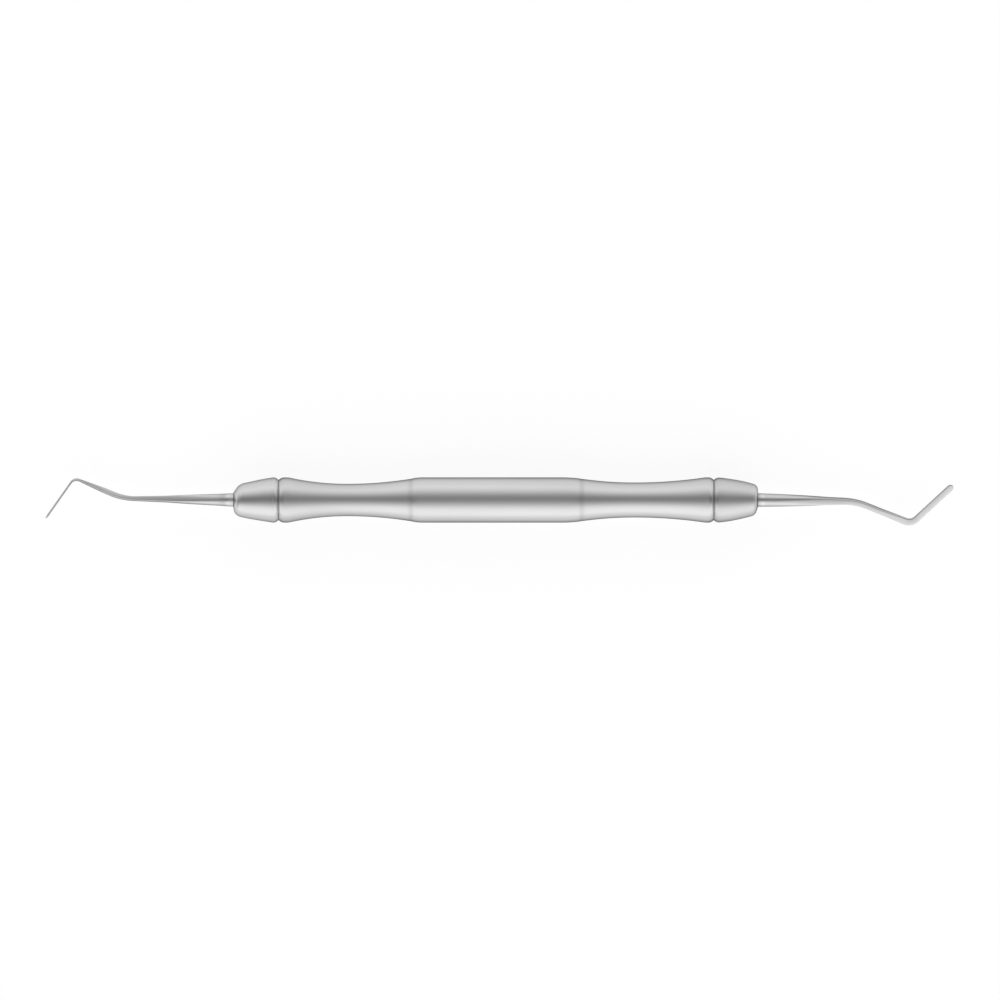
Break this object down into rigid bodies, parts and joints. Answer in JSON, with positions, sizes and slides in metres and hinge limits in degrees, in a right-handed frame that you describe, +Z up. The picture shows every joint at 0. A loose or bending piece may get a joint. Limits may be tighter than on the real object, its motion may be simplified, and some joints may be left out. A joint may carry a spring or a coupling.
{
  "type": "dental spatula",
  "caption": "Waisted steel grip with turned end cones and tapered, bent shanks that end in narrow flat blades, for placing and smoothing soft dental filling material.",
  "frame": {"origin": "on the surface that the instrument lies on, under the middle of the grip's length and straight below the grip's axis", "axes": "+X runs along the grip to the working end whose blade lies flat, +Y lies across the grip, level with the surface, towards the side that the flat blade's tip points to, and +Z is up, away from the surface"},
  "size_m": [0.1747, 0.0093, 0.0087],
  "materials": {
    "grip_steel": "satin turned stainless steel",
    "cone_steel": "satin turned stainless steel",
    "blade_steel": "ground and brushed stainless steel"
  },
  "bodies": {
    "root": {"handle_tube": "grip_steel", "left_end_cone": "cone_steel", "right_end_cone": "cone_steel", "left_working_end": "blade_steel", "right_working_end": "blade_steel"}
  },
  "joints": []
}
